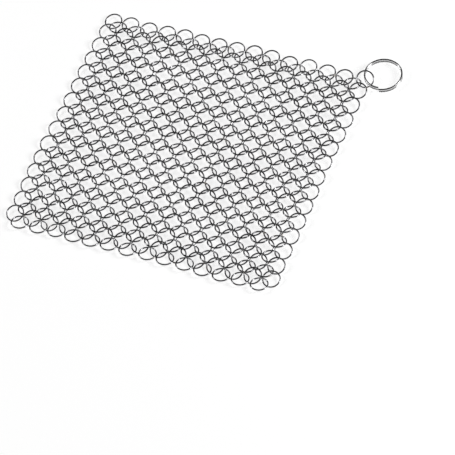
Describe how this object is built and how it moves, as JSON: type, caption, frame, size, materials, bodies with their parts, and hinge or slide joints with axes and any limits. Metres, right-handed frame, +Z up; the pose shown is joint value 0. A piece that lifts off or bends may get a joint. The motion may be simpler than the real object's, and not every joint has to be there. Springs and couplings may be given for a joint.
{
  "type": "pot scrubber",
  "caption": "Square sheet of linked wire rings that drapes and folds, for scouring pots and pans, with a wound split ring at one corner to hang it by.",
  "frame": {"origin": "on the floor, at the middle of the part seen from above", "axes": "+X along the rows of rings towards the hanging ring, +Y from the near edge to the far edge, +Z up"},
  "size_m": [0.1954, 0.186, 0.0058],
  "materials": {
    "ring_wire": "tumbled bright stainless wire",
    "split_ring_wire": "polished spring wire"
  },
  "bodies": {
    "strip_01": {"ring_row_01": "ring_wire", "ring_row_02": "ring_wire", "ring_row_03": "ring_wire"},
    "strip_02": {"ring_row_04": "ring_wire", "ring_row_05": "ring_wire", "ring_row_06": "ring_wire"},
    "strip_03": {"ring_row_07": "ring_wire", "ring_row_08": "ring_wire", "ring_row_09": "ring_wire"},
    "strip_04": {"ring_row_10": "ring_wire", "ring_row_11": "ring_wire", "ring_row_12": "ring_wire"},
    "strip_05": {"ring_row_13": "ring_wire", "ring_row_14": "ring_wire", "ring_row_15": "ring_wire"},
    "strip_06": {"ring_row_16": "ring_wire", "ring_row_17": "ring_wire", "ring_row_18": "ring_wire"},
    "strip_07": {"ring_row_19": "ring_wire", "ring_row_20": "ring_wire", "ring_row_21": "ring_wire"},
    "strip_08": {"ring_row_22": "ring_wire", "ring_row_23": "ring_wire", "ring_row_24": "ring_wire"},
    "strip_09": {"ring_row_25": "ring_wire", "ring_row_26": "ring_wire", "ring_row_27": "ring_wire"},
    "strip_10": {"ring_row_28": "ring_wire", "ring_row_29": "ring_wire", "ring_row_30": "ring_wire"},
    "hanging_ring": {"hanging_ring": "split_ring_wire"}
  },
  "joints": [
    {"name": "fold_03_04", "type": "hinge", "parent": "strip_01", "child": "strip_02", "pos_m": [-0.00804, 0.06247, 0.00134], "axis": [-1, 0, 0], "range_deg": [0, 70]},
    {"name": "fold_06_07", "type": "hinge", "parent": "strip_02", "child": "strip_03", "pos_m": [-0.00804, 0.04548, 0.00318], "axis": [1, 0, 0], "range_deg": [0, 70]},
    {"name": "fold_09_10", "type": "hinge", "parent": "strip_03", "child": "strip_04", "pos_m": [-0.00804, 0.02849, 0.00124], "axis": [-1, 0, 0], "range_deg": [0, 70]},
    {"name": "fold_12_13", "type": "hinge", "parent": "strip_04", "child": "strip_05", "pos_m": [-0.00804, 0.0115, 0.00308], "axis": [1, 0, 0], "range_deg": [0, 70]},
    {"name": "fold_15_16", "type": "hinge", "parent": "strip_05", "child": "strip_06", "pos_m": [-0.00804, -0.00548, 0.00134], "axis": [-1, 0, 0], "range_deg": [0, 70]},
    {"name": "fold_18_19", "type": "hinge", "parent": "strip_06", "child": "strip_07", "pos_m": [-0.00804, -0.02247, 0.00318], "axis": [1, 0, 0], "range_deg": [0, 70]},
    {"name": "fold_21_22", "type": "hinge", "parent": "strip_07", "child": "strip_08", "pos_m": [-0.00804, -0.03946, 0.00124], "axis": [-1, 0, 0], "range_deg": [0, 70]},
    {"name": "fold_24_25", "type": "hinge", "parent": "strip_08", "child": "strip_09", "pos_m": [-0.00804, -0.05645, 0.00308], "axis": [1, 0, 0], "range_deg": [0, 70]},
    {"name": "fold_27_28", "type": "hinge", "parent": "strip_09", "child": "strip_10", "pos_m": [-0.00804, -0.07344, 0.00134], "axis": [-1, 0, 0], "range_deg": [0, 70]},
    {"name": "hanging_ring_swing", "type": "hinge", "parent": "strip_01", "child": "hanging_ring", "pos_m": [0.07336, 0.07822, 0.00521], "axis": [-0.8088, -0.572, -0.1364], "range_deg": [0, 90]}
  ]
}
